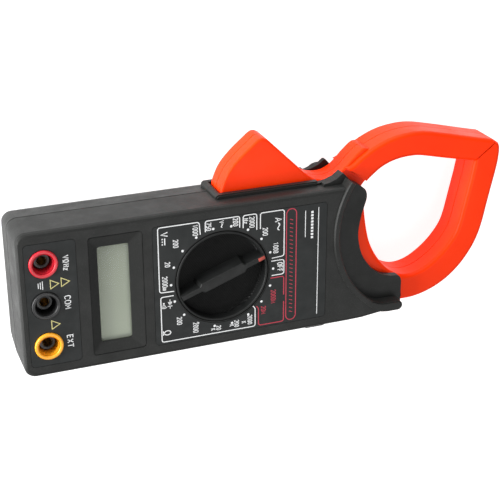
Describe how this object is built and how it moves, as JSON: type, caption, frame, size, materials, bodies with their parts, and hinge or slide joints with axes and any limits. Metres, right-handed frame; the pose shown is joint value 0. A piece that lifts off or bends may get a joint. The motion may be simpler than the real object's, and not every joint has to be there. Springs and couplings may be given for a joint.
{
  "type": "clamp meter",
  "caption": "Hand-held clamp meter: flat case with display, rotary range dial, test-lead sockets and spring-closed jaws opened by a side trigger.",
  "frame": {"origin": "on the rest face (back of the case), under the case's long axis, halfway along the overall length", "axes": "+X towards the jaws, +Y towards the trigger side, +Z out of the dial face"},
  "size_m": [0.2307, 0.0929, 0.037],
  "materials": {
    "case": "fine textured charcoal",
    "steel": "plated",
    "panel": "printed film",
    "window": "clear",
    "lcd": "grey-green liquid crystal",
    "white_plastic": "moulded",
    "rubber": "matte",
    "board": "solder mask",
    "brass": "plated",
    "chip": "moulded",
    "parts": "lacquered",
    "knob": "fine ribbed",
    "red": "painted",
    "black": "moulded",
    "red_ring": "moulded",
    "amber_ring": "moulded",
    "jaw": "satin orange-red",
    "core": "laminated",
    "copper": "enamelled wire",
    "battery": "jacket",
    "wire_red": "insulation",
    "wire_yellow": "insulation"
  },
  "bodies": {
    "meter_case": {"front_case": "case", "rear_case": "case", "case_screws": "steel", "dial_label": "panel", "jack_label": "panel", "lcd_window": "window", "lcd_glass": "lcd", "lcd_frame": "white_plastic", "zebra_strips": "rubber", "main_pcb": "board", "switch_tracks": "brass", "converter_chip": "chip", "board_parts": "parts", "buzzer": "chip", "jack_wells": "black", "jack_ring_red": "red_ring", "jack_ring_black": "black", "jack_ring_yellow": "amber_ring", "jack_contacts": "brass", "hold_switch": "chip", "fixed_jaw_front": "jaw", "fixed_jaw_rear": "jaw", "fixed_jaw_core": "core", "hinge_pin": "steel", "coil_bobbin": "white_plastic", "pickup_coil": "copper", "battery": "battery", "battery_terminals": "steel", "battery_snap": "black", "battery_leads": "wire_red", "coil_leads": "wire_yellow"},
    "moving_jaw": {"moving_jaw_front": "jaw", "moving_jaw_rear": "jaw", "moving_jaw_core": "core", "return_spring": "steel"},
    "dial": {"knob": "knob", "knob_mark": "red", "switch_rotor": "white_plastic", "rotor_contacts": "brass", "click_balls": "steel"},
    "hold": {"hold_button": "knob"},
    "door": {"battery_door": "case", "battery_door_screw": "steel"}
  },
  "joints": [
    {"name": "jaw_open", "type": "hinge", "parent": "meter_case", "child": "moving_jaw", "pos_m": [0.033, 0.0275, 0.0173], "axis": [0, 0, 1], "range_deg": [0, 22], "stiffness_Nm_per_rad": 0.35, "springref_deg": -28.65},
    {"name": "knob_turn", "type": "hinge", "parent": "meter_case", "child": "dial", "pos_m": [-0.026, 0, 0.0353], "axis": [0, 0, 1], "continuous": true},
    {"name": "hold_press", "type": "slide", "parent": "meter_case", "child": "hold", "axis": [0, 1, 0], "range_m": [0, 0.0015], "stiffness_N_per_m": 800, "springref_m": -0.001},
    {"name": "door_off", "type": "slide", "parent": "meter_case", "child": "door", "axis": [0, 0, -1], "range_m": [0, 0.014]}
  ]
}
